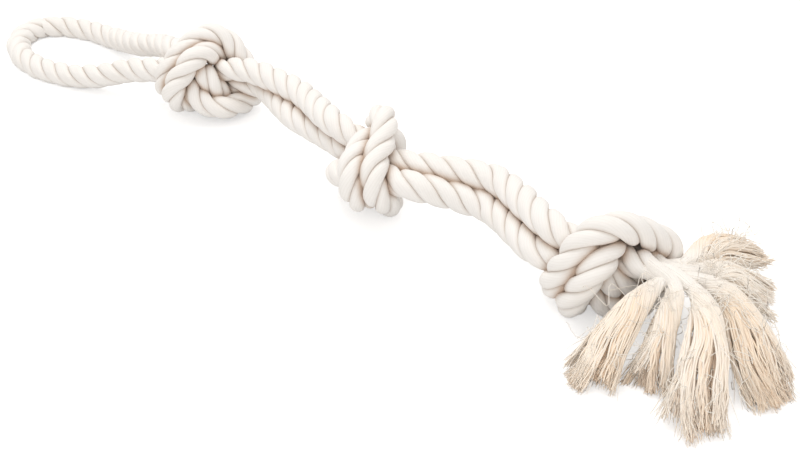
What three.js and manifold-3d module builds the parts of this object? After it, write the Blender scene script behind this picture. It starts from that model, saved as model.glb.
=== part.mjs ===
// A rope tug toy: one thick three-strand cotton rope, doubled into a hand loop, tied in three
// overhand knots, with its two ends unlaid into a tassel of six frayed strand tails.
// Millimetres, +Z up, X along the toy from the hand loop to the tassel. The toy lies on Z = 0.

import * as THREE from "three";
import { mergeVertices } from "three/addons/utils/BufferGeometryUtils.js";
import Module from "manifold-3d";

const wasm = await Module();
wasm.setup();

// Driving dimensions
const ropeDiameter = 18;
const knottedRopeDiameter = 14.6; // the same rope where a knot pulls it thin
const strandDiameter = 8.2; // one of the three strands of the rope, unlaid
const endGap = 0.3; // between the faces of two lengths of rope that meet
const flatShare = 0.1; // how deep the floor presses a rope's underside flat, in its diameters
const flexAngle = 25; // degrees that the rope bends to each side where it flexes
const tailThickness = 13;
const tailTipThickness = 9;
const rootReach = 14.3; // from the middle of the tails' fan to the middles of their roots
const weldDistance = 0.0001; // corners nearer than this are one corner

// How far the blocks that trim a length of rope reach, in rope diameters
const cutReachShare = 60;
const cutReach = ropeDiameter * cutReachShare;

// Counts of the round forms
const ropeSides = 8;
const curveDivisions = 600;
const tailSides = 10;
const tailRings = 8;
const fanSides = 24;
const domeRings = 2;

// Steps along a tube in its own diameters: on open rope and in a knot
const coarseStepShare = 0.9;
const fineStepShare = 0.4;

// The rope's middle line at the hand loop, in rope diameters from the middle knot: out along the
// far side, round the bend at the end and back along the near side.
const loopShares = [
  [-14.4, 3.05, 1.9], [-16.0, 3.32, 1.38], [-17.5, 3.75, 0.98], [-19.2, 4.28, 0.55],
  [-21.1, 4.42, 0.4], [-22.7, 4.0, 0.4], [-23.65, 3.15, 0.4], [-23.6, 2.05, 0.4],
  [-22.75, 1.0, 0.4], [-21.3, 0.25, 0.4], [-19.5, -0.02, 0.4], [-17.6, 0.2, 0.5],
  [-16.0, 0.62, 0.8], [-14.4, 1.15, 1.35],
];

// Each knot: where its middle lies from the middle knot in rope diameters, which way its run
// points in plan, how far it is rolled about its run, whether it is tied left-handed, and where
// its legs end on each side, in knotted rope diameters.
const knots = {
  handle_knot: {
    placeShares: [-10.45, 2.45], yaw: 9, roll: 340, leftHanded: false, endShares: [2.5, 2.5],
  },
  middle_knot: {
    placeShares: [0.15, 0.5], yaw: -8, roll: 335, leftHanded: true, endShares: [2.5, 2.5],
  },
  tassel_knot: {
    placeShares: [10.35, -0.45], yaw: 2.5, roll: 20, leftHanded: false, endShares: [2.5, 3.9],
  },
};

// Each span between two knots: the middle of its flexing place, the way it runs there, and half
// of the upper leg's offset from the lower one.
const spans = {
  span_1: {
    from: "handle_knot", to: "middle_knot", middleShares: [-5.15, 2.05, 2.0], yaw: -15,
    offsetShares: [0, 0.37, 0.58],
  },
  span_2: {
    from: "middle_knot", to: "tassel_knot", middleShares: [5.1, 0.95, 2.0], yaw: -12,
    offsetShares: [0, 0.36, 0.59],
  },
};

// How long a span keeps its direction at a knot's mouth and at its flexing place, as shares of
// the distance between the two.
const mouthPullShare = 0.2;
const flexPullShare = 0.38;

// The six frayed tails, which fan out round the legs' ends: the leg that each comes from, the
// direction in which it leaves in degrees, where its tip lies from the middle knot, its heading
// there in degrees, how long it keeps its first direction, and its width at the tip.
const tails = [
  {
    leg: "b", round: 86, tipShares: [13.65, 4.4, 0.95], heading: 66,
    leavingShare: 1.4, widthShare: 1.9,
  },
  {
    leg: "b", round: 49, tipShares: [14.9, 1.8, 1.2], heading: 23,
    leavingShare: 0.9, widthShare: 2,
  },
  {
    leg: "b", round: 11, tipShares: [16.6, -1.5, 0.2], heading: -28,
    leavingShare: 1.4, widthShare: 2.1,
  },
  {
    leg: "a", round: -28, tipShares: [15.2, -4.3, 0.2], heading: -64,
    leavingShare: 1.4, widthShare: 2.1,
  },
  {
    leg: "a", round: -67, tipShares: [13.15, -3.1, 0.2], heading: -79.5,
    leavingShare: 0.9, widthShare: 1.4,
  },
  {
    leg: "a", round: -105, tipShares: [11.6, -4.1, 0.2], heading: -100,
    leavingShare: 1.2, widthShare: 1.8,
  },
];
const fanShare = 2.6; // from the tassel knot's middle to the fan's, in knotted rope diameters
const tailFallingShare = 0.42; // how long a tail runs straight at its tip, as a share of its reach
const tailHangShare = 0.6; // how high it is there, as a share of its root's height over its tip
const tailOpeningShare = 1.15; // the power of the way along a tail by which it widens

// A knot is settled in diameters of its own rope: points a step apart on two legs, drawn short
// and pushed a contact distance apart, from a loose overhand knot to a tight one.
const knotStepShare = 0.3;
const knotEndShare = 6.5; // from the knot's middle to where its legs run straight and parallel
const contactShare = 1.05;
const thinContactShare = 0.45;
const ribbonShare = 0.3; // half of the gap between the loose knot's legs
const looseShares = { along: 0.2, across: 1, up: 0.8 };
const looseReachShare = 2.1; // of the parameter of the loose knot's curve, to each side
const looseCount = 300;
const tightCount = 360;
const easyCount = 60;
const growthCount = 0.6 * tightCount;
const drawShare = 0.6;
const wideDrawShare = 0.03;
const wideCount = 3;
const nearestCount = 5; // steps along one leg before two of its points can touch
const spreadCount = 5;
const spreadForceShare = 2.4;
const spreadEaseCount = 2;
const legPullShare = 0.1;
const legWindowCount = 10;

const material = new THREE.MeshStandardMaterial({ color: 0xf4ecdd, roughness: 0.95, metalness: 0 });
const yarnMaterial = new THREE.MeshStandardMaterial({ color: 0xeadfc8, roughness: 1, metalness: 0 });

const radians = THREE.MathUtils.degToRad;
const vector = (point) => new THREE.Vector3(...point);
const inDiameters = (shares) => vector(shares).multiplyScalar(ropeDiameter);

// Evenly spaced points along a line of points, with both of its ends.
function evenly(line, step) {
  const along = [0];
  for (let i = 1; i < line.length; i++) {
    along.push(along[i - 1] + line[i].distanceTo(line[i - 1]));
  }
  const total = along[along.length - 1];
  const count = Math.round(total / step);
  const points = [];
  let from = 0;
  for (let i = 0; i <= count; i++) {
    const wanted = (total * i) / count;
    while (from < along.length - 2 && along[from + 1] < wanted) from += 1;
    const part = (wanted - along[from]) / (along[from + 1] - along[from]);
    points.push(line[from].clone().lerp(line[from + 1], part));
  }
  return points;
}

// Two legs side by side along a loose overhand knot that runs along X.
function looseKnot() {
  const middle = [new THREE.Vector3(-knotEndShare, 0, 0)];
  for (let i = 0; i <= looseCount; i++) {
    const t = looseReachShare * ((2 * i) / looseCount - 1);
    middle.push(new THREE.Vector3(
      looseShares.along * (t ** 5 - 10 * t),
      looseShares.across * (t ** 3 - 3 * t),
      looseShares.up * (t ** 4 - 4 * t ** 2 + 1),
    ));
  }
  middle.push(new THREE.Vector3(knotEndShare, 0, 0));
  const line = evenly(middle, knotStepShare);
  const side = new THREE.Vector3(0, 1, 0);
  const legs = [[], []];
  line.forEach((point, i) => {
    const before = line[Math.max(i - 1, 0)];
    const after = line[Math.min(i + 1, line.length - 1)];
    side.projectOnPlane(after.clone().sub(before).normalize()).normalize();
    legs[0].push(point.clone().addScaledVector(side, ribbonShare));
    legs[1].push(point.clone().addScaledVector(side, -ribbonShare));
  });
  return legs;
}

// Draws each point towards the middle of the points a reach before and after it.
function draw(leg, reach, share) {
  return leg.map((point, i) => {
    if (i < reach || i >= leg.length - reach) return point;
    return point.clone().lerp(leg[i - reach].clone().lerp(leg[i + reach], 1 / 2), share);
  });
}

// Pushes apart, all at once, the points that are nearer to each other than contact.
function spread(legs, contact) {
  const pushes = legs.map((leg) => leg.map(() => ({ move: new THREE.Vector3(), count: 0 })));
  const way = new THREE.Vector3();
  for (const [m, n] of [[0, 0], [0, 1], [1, 1]]) {
    legs[m].forEach((p, i) => {
      for (let j = m === n ? i + nearestCount : 0; j < legs[n].length; j++) {
        const q = legs[n][j];
        if (Math.abs(q.x - p.x) > contact || Math.abs(q.y - p.y) > contact) continue;
        const apart = way.subVectors(q, p).length();
        if (apart >= contact) continue;
        way.multiplyScalar((contact - apart) / apart / 2);
        pushes[m][i].move.sub(way);
        pushes[m][i].count += 1;
        pushes[n][j].move.add(way);
        pushes[n][j].count += 1;
      }
    });
  }
  legs.forEach((leg, m) => leg.forEach((point, i) => {
    const { move, count } = pushes[m][i];
    point.addScaledVector(move, spreadForceShare / (spreadEaseCount + count));
  }));
}

// Draws the two legs together where they have parted.
function gather(legs, contact) {
  const [first, second] = legs;
  const moves = second.map(() => new THREE.Vector3());
  for (let i = 0; i < first.length; i++) {
    const facing = Math.round((i * (second.length - 1)) / (first.length - 1));
    let nearest = Infinity;
    let at = facing;
    const last = Math.min(second.length - 1, facing + legWindowCount);
    for (let j = Math.max(0, facing - legWindowCount); j <= last; j++) {
      const apart = second[j].distanceTo(first[i]);
      if (apart < nearest) {
        nearest = apart;
        at = j;
      }
    }
    if (nearest < contact * contactShare) continue;
    const pull = second[at].clone().sub(first[i]);
    pull.multiplyScalar((legPullShare * (nearest - contact)) / nearest);
    first[i].add(pull);
    moves[at].sub(pull);
  }
  second.forEach((point, i) => point.add(moves[i]));
}

// The middle lines of the two legs of a tight overhand knot, in diameters of its rope.
function tightKnot() {
  let legs = looseKnot();
  for (let round = 0; round < tightCount + easyCount; round++) {
    const easy = round >= tightCount;
    const grown = Math.min(1, round / growthCount);
    const contact = thinContactShare + (contactShare - thinContactShare) * grown;
    legs = legs.map((leg) => draw(evenly(leg, knotStepShare), 1, easy ? drawShare / 4 : drawShare));
    if (!easy) legs = legs.map((leg) => draw(leg, wideCount, wideDrawShare));
    for (let i = 0; i < (easy ? 2 * spreadCount : spreadCount); i++) spread(legs, contact);
    gather(legs, contact);
    legs.forEach((leg, m) => {
      const side = (m ? -contactShare : contactShare) / 2;
      leg[0].set(-knotEndShare, side, 0);
      leg[leg.length - 1].set(knotEndShare, -side, 0);
    });
  }
  return legs;
}

const startOf = (line) => line[0];
const endOf = (line) => line[line.length - 1];
const wayIn = (line) => new THREE.CatmullRomCurve3(line).getTangent(0);
const wayOut = (line) => new THREE.CatmullRomCurve3(line).getTangent(1);

// A knot's two legs in the toy's frame, from its handle side to its tassel side, pressed onto
// the floor. The leg that leaves higher on the tassel side comes first.
function placedKnot(tight, { placeShares, yaw, roll, leftHanded, endShares }) {
  const place = new THREE.Matrix4().makeRotationZ(radians(yaw));
  place.multiply(new THREE.Matrix4().makeRotationX(radians(roll)));
  const legs = tight.map((leg) => {
    const line = leg.map(({ x, y, z }) => new THREE.Vector3(-x, leftHanded ? y : -y, z)).reverse();
    const first = line.findIndex((point) => point.x > -endShares[0]);
    const last = line.findLastIndex((point) => point.x < endShares[1]);
    const kept = line.slice(first, last + 1);
    return kept.map((point) => point.applyMatrix4(place).multiplyScalar(knottedRopeDiameter));
  });
  const lowest = Math.min(...legs.flat().map((point) => point.z));
  const lift = knottedRopeDiameter * (1 / 2 - flatShare) - lowest;
  const middle = inDiameters([...placeShares, 0]).setZ(lift);
  legs.flat().forEach((point) => point.add(middle));
  legs.sort((one, other) => other[other.length - 1].z - one[one.length - 1].z);
  return legs;
}

function polygon(diameter, sides) {
  const corners = [];
  for (let i = 0; i < sides; i++) {
    const angle = (2 * Math.PI * (i + 1 / 2)) / sides;
    corners.push(new THREE.Vector2(Math.cos(angle), Math.sin(angle)).multiplyScalar(diameter / 2));
  }
  return new THREE.Shape(corners);
}

// A length of rope: a closed tube along a curve, with a ring every step.
function tube(curve, diameter, step) {
  curve.arcLengthDivisions = curveDivisions;
  const steps = Math.max(2, Math.round(curve.getLength() / step));
  const options = { steps, extrudePath: curve, bevelEnabled: false };
  return new THREE.ExtrudeGeometry(polygon(diameter, ropeSides), options);
}

function solidOf(geometry) {
  const bare = geometry.clone();
  bare.deleteAttribute("normal");
  bare.deleteAttribute("uv");
  const merged = mergeVertices(bare, weldDistance);
  return new wasm.Manifold(new wasm.Mesh({
    numProp: 3,
    vertProperties: new Float32Array(merged.attributes.position.array),
    triVerts: new Uint32Array(merged.index.array),
  }));
}

function geometryOf(solid) {
  const mesh = solid.getMesh();
  const geometry = new THREE.BufferGeometry();
  geometry.setAttribute("position", new THREE.BufferAttribute(mesh.vertProperties, 3));
  geometry.setIndex(new THREE.BufferAttribute(mesh.triVerts, 1));
  geometry.computeVertexNormals();
  return geometry;
}

// The block of space above the floor, which cuts undersides flat.
function aboveFloor() {
  const block = new THREE.BoxGeometry(2 * cutReach, 2 * cutReach, cutReach);
  return block.translate(0, 0, cutReach / 2);
}

// The wedge of space on one side of a flexing place, opened so that both sides can turn by the
// flex angle without meeting. side is 1 towards the tassel and -1 towards the handle.
function wedge({ at, yaw }, side) {
  const slope = Math.tan(radians(flexAngle) / 2);
  const apex = endGap / 2;
  const outline = new THREE.Shape([
    new THREE.Vector2(side * apex, 0),
    new THREE.Vector2(side * (apex + cutReach * slope), -cutReach),
    new THREE.Vector2(side * cutReach, -cutReach),
    new THREE.Vector2(side * cutReach, cutReach),
    new THREE.Vector2(side * (apex + cutReach * slope), cutReach),
  ]);
  const prism = new THREE.ExtrudeGeometry(outline, { depth: 2 * cutReach, bevelEnabled: false });
  prism.translate(0, 0, -cutReach);
  return prism.rotateZ(radians(yaw)).translate(at.x, at.y, 0);
}

// The space up to the tails' roots: everything behind the fan, and a round post at its middle.
function behindFan(middle) {
  const reach = rootReach - strandDiameter / 2 - endGap;
  const post = new THREE.CylinderGeometry(reach, reach, cutReach, fanSides).rotateX(Math.PI / 2);
  post.translate(middle.x, middle.y, 0);
  const block = new THREE.BoxGeometry(cutReach, cutReach, cutReach);
  block.translate(middle.x - strandDiameter - cutReach / 2, middle.y, 0);
  return geometryOf(solidOf(block).add(solidOf(post)));
}

function cutBy(geometry, ...keepers) {
  const solid = keepers.reduce((kept, keeper) => kept.intersect(solidOf(keeper)), solidOf(geometry));
  return geometryOf(solid);
}

const toy = new THREE.Group();
toy.name = "rope_tug_toy";
const pieces = new THREE.Group();
toy.add(pieces);

function addPiece(name, geometry, finish = material) {
  const mesh = new THREE.Mesh(geometry, finish);
  mesh.name = name;
  pieces.add(mesh);
}

const tight = tightKnot();
const placed = {};
for (const [name, knot] of Object.entries(knots)) placed[name] = placedKnot(tight, knot);

// Where the toy flexes: beside the handle knot and half way along each span.
const legStart = (knot, leg) => placed[knot][leg][0];
const flexPlaces = {
  handle: {
    at: legStart("handle_knot", 0).clone().add(legStart("handle_knot", 1)).divideScalar(2),
    yaw: knots.handle_knot.yaw,
  },
};
for (const [name, span] of Object.entries(spans)) {
  flexPlaces[name] = { at: inDiameters(span.middleShares), yaw: span.yaw };
}

// The tails fan out round a point just past the tassel knot, level with its two legs.
const fanMiddle = inDiameters([...knots.tassel_knot.placeShares, 0]).setY(0);
fanMiddle.x += fanShare * knottedRopeDiameter;
placed.tassel_knot.forEach((line) => {
  const facing = line.findLast((point) => point.x < fanMiddle.x);
  fanMiddle.y += facing.y / placed.tassel_knot.length;
  fanMiddle.z += facing.z / placed.tassel_knot.length;
});

const floor = aboveFloor();
const coarseStep = ropeDiameter * coarseStepShare;
const knotStep = knottedRopeDiameter * fineStepShare;
const legNames = ["a", "b"];

// The hand loop runs from one leg of the handle knot to the other.
function addHandle() {
  const ends = mouth(placed.handle_knot, startOf, wayIn).sort((one, other) => other[0].y - one[0].y);
  const [first, second] = ends;
  const overrun = ropeDiameter / 2;
  const line = [
    first[0].clone().addScaledVector(first[1], overrun),
    first[0].clone(),
    ...loopShares.map(inDiameters),
    second[0].clone(),
    second[0].clone().addScaledVector(second[1], overrun),
  ];
  const curve = new THREE.CatmullRomCurve3(line, false, "centripetal");
  const loop = tube(curve, ropeDiameter, coarseStep);
  addPiece("handle_loop", cutBy(loop, wedge(flexPlaces.handle, -1), floor));
  return curve;
}

function addKnots() {
  for (const [name, legs] of Object.entries(placed)) {
    legs.forEach((line, i) => {
      const keepers = [floor];
      let points = line;
      if (name === "handle_knot") {
        keepers.push(wedge(flexPlaces.handle, 1));
        points = [line[0].clone().addScaledVector(wayIn(line), -ropeDiameter / 2), ...line];
      }
      if (name === "tassel_knot") keepers.push(behindFan(fanMiddle));
      const geometry = tube(new THREE.CatmullRomCurve3(points), knottedRopeDiameter, knotStep);
      addPiece(`${name}_leg_${legNames[i]}`, cutBy(geometry, ...keepers));
    });
  }
}

// The two places and directions in which full rope meets a knot's thinner legs, a gap apart.
function mouth(legs, place, way) {
  const apart = place(legs[0]).clone().sub(place(legs[1])).projectOnPlane(way(legs[0]));
  apart.setLength(Math.max(0, (ropeDiameter + 3 * endGap - apart.length()) / 2));
  return legs.map((line, i) => {
    const direction = way(line);
    const shift = apart.clone().projectOnPlane(direction);
    return [place(line).clone().addScaledVector(shift, i ? -1 : 1), direction];
  });
}

// One leg of a span in two halves, which meet at the span's flexing place.
function addSpan(name, span) {
  const middle = inDiameters(span.middleShares);
  const way = new THREE.Vector3(Math.cos(radians(span.yaw)), Math.sin(radians(span.yaw)), 0);
  const offset = inDiameters(span.offsetShares);
  const place = flexPlaces[name];
  const exits = mouth(placed[span.from], endOf, wayOut);
  const entries = mouth(placed[span.to], startOf, wayIn);
  entries.sort((one, other) => other[0].z - one[0].z);
  legNames.forEach((leg, i) => {
    const crossing = middle.clone().addScaledVector(offset, i ? -1 : 1);
    const past = ropeDiameter / 2;
    const halves = [
      ["handle_side", exits[i][0], exits[i][1], crossing.clone().addScaledVector(way, past), way, -1],
      ["tassel_side", crossing.clone().addScaledVector(way, -past), way, entries[i][0], entries[i][1], 1],
    ];
    for (const [half, start, startWay, end, endWay, side] of halves) {
      const pulls = side < 0 ? [mouthPullShare, flexPullShare] : [flexPullShare, mouthPullShare];
      const [startPull, endPull] = pulls.map((share) => share * start.distanceTo(end));
      const from = side < 0 ? start.clone().addScaledVector(startWay, endGap) : start;
      const to = side > 0 ? end.clone().addScaledVector(endWay, -endGap) : end;
      const curve = new THREE.CubicBezierCurve3(
        from,
        from.clone().addScaledVector(startWay, startPull),
        to.clone().addScaledVector(endWay, -endPull),
        to,
      );
      const geometry = tube(curve, ropeDiameter, coarseStep);
      addPiece(`${name}_leg_${leg}_${half}`, cutBy(geometry, wedge(place, side), floor));
    }
  });
}

// A frayed tail: round and thin at its root, which is a dome, and spread wide at its blunt tip.
function tailGeometry(root, leaving, tip, heading, width) {
  const reach = root.distanceTo(tip);
  const ahead = new THREE.Vector3(Math.cos(heading), Math.sin(heading), 0);
  const upward = new THREE.Vector3(0, 0, 1);
  const way = leaving.clone().normalize();
  const hang = THREE.MathUtils.lerp(tip.z, root.z, tailHangShare);
  const curve = new THREE.CubicBezierCurve3(
    root,
    root.clone().add(leaving),
    tip.clone().addScaledVector(ahead, -reach * tailFallingShare).setZ(hang),
    tip,
  );
  const rings = [];
  const radius = strandDiameter / 2;
  for (let i = 1; i <= domeRings; i++) {
    const angle = (Math.PI / 2) * (i / (domeRings + 1));
    const thin = radius * Math.sin(angle);
    const at = root.clone().addScaledVector(way, -radius * Math.cos(angle));
    rings.push({ at, t: 0, w: thin, h: thin });
  }
  for (let i = 0; i <= tailRings; i++) {
    const t = i / tailRings;
    const open = t ** tailOpeningShare;
    const fullness = (4 * t * (1 - t)) ** 2;
    const w = radius + (width / 2 - radius) * open;
    const h = radius + (tailThickness / 2 - radius) * fullness + (tailTipThickness / 2 - radius) * t * t;
    rings.push({ at: curve.getPoint(t), t, w, h });
  }
  const positions = [];
  const index = [];
  rings.forEach((ring) => {
    const tangent = curve.getTangent(ring.t);
    const side = upward.clone().cross(tangent).normalize();
    const up = tangent.clone().cross(side).normalize();
    for (let k = 0; k < tailSides; k++) {
      const angle = (2 * Math.PI * k) / tailSides;
      const corner = ring.at.clone().addScaledVector(side, ring.w * Math.cos(angle));
      corner.addScaledVector(up, ring.h * Math.sin(angle));
      positions.push(corner.x, corner.y, corner.z);
    }
  });
  const pole = root.clone().addScaledVector(way, -radius);
  const startPole = rings.length * tailSides;
  positions.push(pole.x, pole.y, pole.z);
  const end = rings[rings.length - 1].at;
  positions.push(end.x, end.y, end.z);
  for (let k = 0; k < tailSides; k++) {
    const next = (k + 1) % tailSides;
    index.push(startPole, next, k);
    for (let i = 0; i < rings.length - 1; i++) {
      const a = i * tailSides + k;
      const b = i * tailSides + next;
      index.push(a, b, b + tailSides, a, b + tailSides, a + tailSides);
    }
    const lastRing = (rings.length - 1) * tailSides;
    index.push(startPole + 1, lastRing + k, lastRing + next);
  }
  const geometry = new THREE.BufferGeometry();
  geometry.setAttribute("position", new THREE.Float32BufferAttribute(positions, 3));
  geometry.setIndex(index);
  return geometry;
}

function addTails() {
  const counts = { a: 0, b: 0 };
  for (const { leg, round, tipShares, heading, leavingShare, widthShare } of tails) {
    const leaving = new THREE.Vector3(Math.cos(radians(round)), Math.sin(radians(round)), 0);
    const root = fanMiddle.clone().addScaledVector(leaving, rootReach);
    counts[leg] += 1;
    leaving.multiplyScalar(leavingShare * ropeDiameter);
    const tip = inDiameters(tipShares);
    const geometry = tailGeometry(root, leaving, tip, radians(heading), widthShare * ropeDiameter);
    addPiece(`tail_${leg}_${counts[leg]}`, cutBy(geometry, floor), yarnMaterial);
  }
}

// The least gap of a tube to itself, between points that lie more than a bend apart along it.
function leastGap(line, diameter) {
  const bend = Math.PI * diameter;
  const along = [0];
  for (let i = 1; i < line.length; i++) along.push(along[i - 1] + line[i].distanceTo(line[i - 1]));
  let least = Infinity;
  for (let i = 0; i < line.length; i++) {
    for (let j = i + 1; j < line.length; j++) {
      if (along[j] - along[i] > bend) least = Math.min(least, line[i].distanceTo(line[j]) - diameter);
    }
  }
  return least;
}

const ropeSteps = 400;
const loop = addHandle();
addKnots();
for (const [name, span] of Object.entries(spans)) addSpan(name, span);
addTails();

const loopGap = leastGap(loop.getSpacedPoints(ropeSteps), ropeDiameter);
console.log(`handle_loop: least gap to itself ${loopGap.toFixed(2)} mm`);
for (const [name, legs] of Object.entries(placed)) {
  legs.forEach((line, i) => {
    const fine = new THREE.CatmullRomCurve3(line).getSpacedPoints(ropeSteps);
    const gap = leastGap(fine, knottedRopeDiameter);
    console.log(`${name}_leg_${legNames[i]}: least gap to itself ${gap.toFixed(2)} mm`);
  });
}

// The toy's box stands with the middle of its bottom at the origin.
const box = new THREE.Box3().setFromObject(pieces);
const boxMiddle = box.getCenter(new THREE.Vector3());
pieces.position.set(-boxMiddle.x, -boxMiddle.y, 0);

export default toy;
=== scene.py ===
# A rope tug toy: one thick three-strand cotton rope, doubled into a hand loop, tied in three
# overhand knots, with its two ends unlaid into a tassel of six frayed strands.
# Lengths are in millimetres up to the meshes, which are in metres. The places in the tables of
# the route are in diameters of the rope.

import math
from itertools import permutations

import bpy
import numpy as np
from mathutils import Matrix, Vector


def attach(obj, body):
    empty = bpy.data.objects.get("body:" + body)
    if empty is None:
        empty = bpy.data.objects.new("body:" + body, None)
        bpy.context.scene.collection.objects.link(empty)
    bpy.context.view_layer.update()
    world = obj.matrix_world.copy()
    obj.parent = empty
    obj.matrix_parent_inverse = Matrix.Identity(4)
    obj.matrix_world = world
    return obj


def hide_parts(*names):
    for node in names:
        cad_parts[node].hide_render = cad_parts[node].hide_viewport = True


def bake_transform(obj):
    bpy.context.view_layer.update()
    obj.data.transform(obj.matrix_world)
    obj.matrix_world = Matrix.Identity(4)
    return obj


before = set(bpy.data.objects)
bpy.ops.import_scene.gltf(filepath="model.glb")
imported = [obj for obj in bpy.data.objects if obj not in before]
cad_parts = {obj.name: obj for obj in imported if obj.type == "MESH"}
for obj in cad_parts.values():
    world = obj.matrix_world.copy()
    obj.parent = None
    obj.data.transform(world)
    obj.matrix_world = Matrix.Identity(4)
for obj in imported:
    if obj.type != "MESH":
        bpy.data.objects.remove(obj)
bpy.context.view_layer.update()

MM = 0.001
UP = np.array([0.0, 0.0, 1.0])

# The rope and its route, as in the part's source

ROPE = 18.0
KNOTTED = 14.6  # the rope's diameter where it is squeezed in a knot
LEG_GAP = 0.9  # between the rope's two legs where they leave a knot
FLAT_SHARE = 0.1  # how far a knot's lowest turns are pressed flat
ROOT_REACH = 14.3  # from the fan's middle to the tails' roots
SHIFT = np.array([63.752, -1.093, 0.0])  # by which the source centres the toy's box

LOOP_SHARES = [
    (-14.4, 3.05, 1.9), (-16.0, 3.32, 1.38), (-17.5, 3.75, 0.98), (-19.2, 4.28, 0.55),
    (-21.1, 4.42, 0.4), (-22.7, 4.0, 0.4), (-23.65, 3.15, 0.4), (-23.6, 2.05, 0.4),
    (-22.75, 1.0, 0.4), (-21.3, 0.25, 0.4), (-19.5, -0.02, 0.4), (-17.6, 0.2, 0.5),
    (-16.0, 0.62, 0.8), (-14.4, 1.15, 1.35),
]

# A knot's ends are in diameters of the knotted rope, before and after its middle
KNOTS = {
    "handle_knot": {
        "place": (-10.45, 2.45), "yaw": 9, "roll": 340, "left_handed": False, "ends": (2.5, 2.5),
    },
    "middle_knot": {
        "place": (0.15, 0.5), "yaw": -8, "roll": 335, "left_handed": True, "ends": (2.5, 2.5),
    },
    "tassel_knot": {
        "place": (10.35, -0.45), "yaw": 2.5, "roll": 20, "left_handed": False, "ends": (2.5, 3.9),
    },
}

# Each of a span's legs crosses the joint at the middle plus or minus the offset
SPANS = {
    "span_1": {
        "from": "handle_knot", "to": "middle_knot", "middle": (-5.15, 2.05, 2.0), "yaw": -15,
        "offset": (0, 0.37, 0.58),
    },
    "span_2": {
        "from": "middle_knot", "to": "tassel_knot", "middle": (5.1, 0.95, 2.0), "yaw": -12,
        "offset": (0, 0.36, 0.59),
    },
}
SPAN_CLOSING = 0.74  # the rope rests on itself where the solids stand clear of each other
MOUTH_PULL_SHARE = 0.2
FLEX_PULL_SHARE = 0.38
SPAN_SAMPLES = 40
CROSSING_GAP = 2  # left free of points on each side of the joint, for the smoothing to bridge

# Where round the fan a tail starts, its tip, the way its tip points, how far it runs straight
# out and how wide it is
TAILS = {
    name: {"round": bearing, "tip": tip, "heading": heading, "leaving": leaving, "width": width}
    for name, bearing, tip, heading, leaving, width in (
        ("tail_b_1", 86, (13.65, 4.4, 0.95), 66, 1.4, 1.9),
        ("tail_b_2", 49, (14.9, 1.8, 1.2), 23, 0.9, 2.0),
        ("tail_b_3", 11, (16.6, -1.5, 0.2), -28, 1.4, 2.1),
        ("tail_a_1", -28, (15.2, -4.3, 0.2), -64, 1.4, 2.1),
        ("tail_a_2", -67, (13.15, -3.1, 0.2), -79.5, 0.9, 1.4),
        ("tail_a_3", -105, (11.6, -4.1, 0.2), -100, 1.2, 1.8),
    )
}
FAN_SHARE = 2.6
TAIL_FALLING_SHARE = 0.42
TAIL_HANG_SHARE = 0.6
TAIL_OPENING = 0.9
UNLAY = 12  # how far before the fan's middle the rope's strands part

# The knot's settling, in diameters of its own rope

KNOT_STEP = 0.3
KNOT_END = 6.5
CONTACT = 1.05
THIN_CONTACT = 0.45
RIBBON = 0.3
LOOSE_ALONG, LOOSE_ACROSS, LOOSE_UP = 0.2, 1.0, 0.8
LOOSE_REACH = 2.1
LOOSE_SAMPLES = 300
TIGHT_ROUNDS = 360
EASY_ROUNDS = 60
GROWTH_ROUNDS = 0.6 * TIGHT_ROUNDS
DRAW_IN = 0.6
EASY_DRAW_IN = DRAW_IN / 4
DRAW_WIDE = 0.03
WIDE_STEP = 3
NEAREST_STEPS = 5
SPREAD_TIMES = 5
SPREAD_FORCE = 2.4
SPREAD_EASE = 2
LEG_PULL = 0.1
LEG_PULL_WINDOW = 10

# A line's direction at its end, from its next two points
NEXT_POINT_SHARE = 1.5
SECOND_POINT_SHARE = 0.25


def norm(vectors):
    """The lengths of vectors, kept as a last axis of one."""
    return np.linalg.norm(vectors, axis=-1, keepdims=True)


def unit(vectors):
    """Vectors of the same directions and of length one."""
    return vectors / norm(vectors)


def heading_way(degrees):
    """The level direction at an angle from the toy's length."""
    return np.array([math.cos(math.radians(degrees)), math.sin(math.radians(degrees)), 0])


def lengths_along(line):
    """How far along a line of points each point is."""
    return np.concatenate([[0.0], np.cumsum(norm(np.diff(line, axis=0))[:, 0])])


def along_line(wanted, along, values):
    """Rows of values, known at places along a line, at the wanted places along it."""
    return np.stack([np.interp(wanted, along, values[:, k]) for k in range(3)], -1)


def evenly(line, step):
    """Evenly spaced points along a line of points, with both of its ends."""
    along = lengths_along(line)
    count = int(math.floor(along[-1] / step + 0.5))
    wanted = along[-1] * np.arange(count + 1) / count
    return along_line(wanted, along, line)


def loose_knot():
    """Two legs side by side along a loose overhand knot that runs along X."""
    t = LOOSE_REACH * (2 * np.arange(LOOSE_SAMPLES + 1) / LOOSE_SAMPLES - 1)
    middle = np.stack([
        LOOSE_ALONG * (t ** 5 - 10 * t),
        LOOSE_ACROSS * (t ** 3 - 3 * t),
        LOOSE_UP * (t ** 4 - 4 * t ** 2 + 1),
    ], axis=1)
    line = evenly(np.concatenate([[[-KNOT_END, 0, 0]], middle, [[KNOT_END, 0, 0]]]), KNOT_STEP)
    side = np.array([0.0, 1.0, 0.0])
    legs = [[], []]
    for i, point in enumerate(line):
        way = unit(line[min(i + 1, len(line) - 1)] - line[max(i - 1, 0)])
        side = unit(side - way * (side @ way))
        legs[0].append(point + side * RIBBON)
        legs[1].append(point - side * RIBBON)
    return [np.array(leg) for leg in legs]


def draw(leg, reach, share):
    """Draws each point towards the middle of the points a reach before and after it."""
    drawn = leg.copy()
    middle = (leg[:-2 * reach] + leg[2 * reach:]) / 2
    drawn[reach:-reach] += (middle - leg[reach:-reach]) * share
    return drawn


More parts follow.
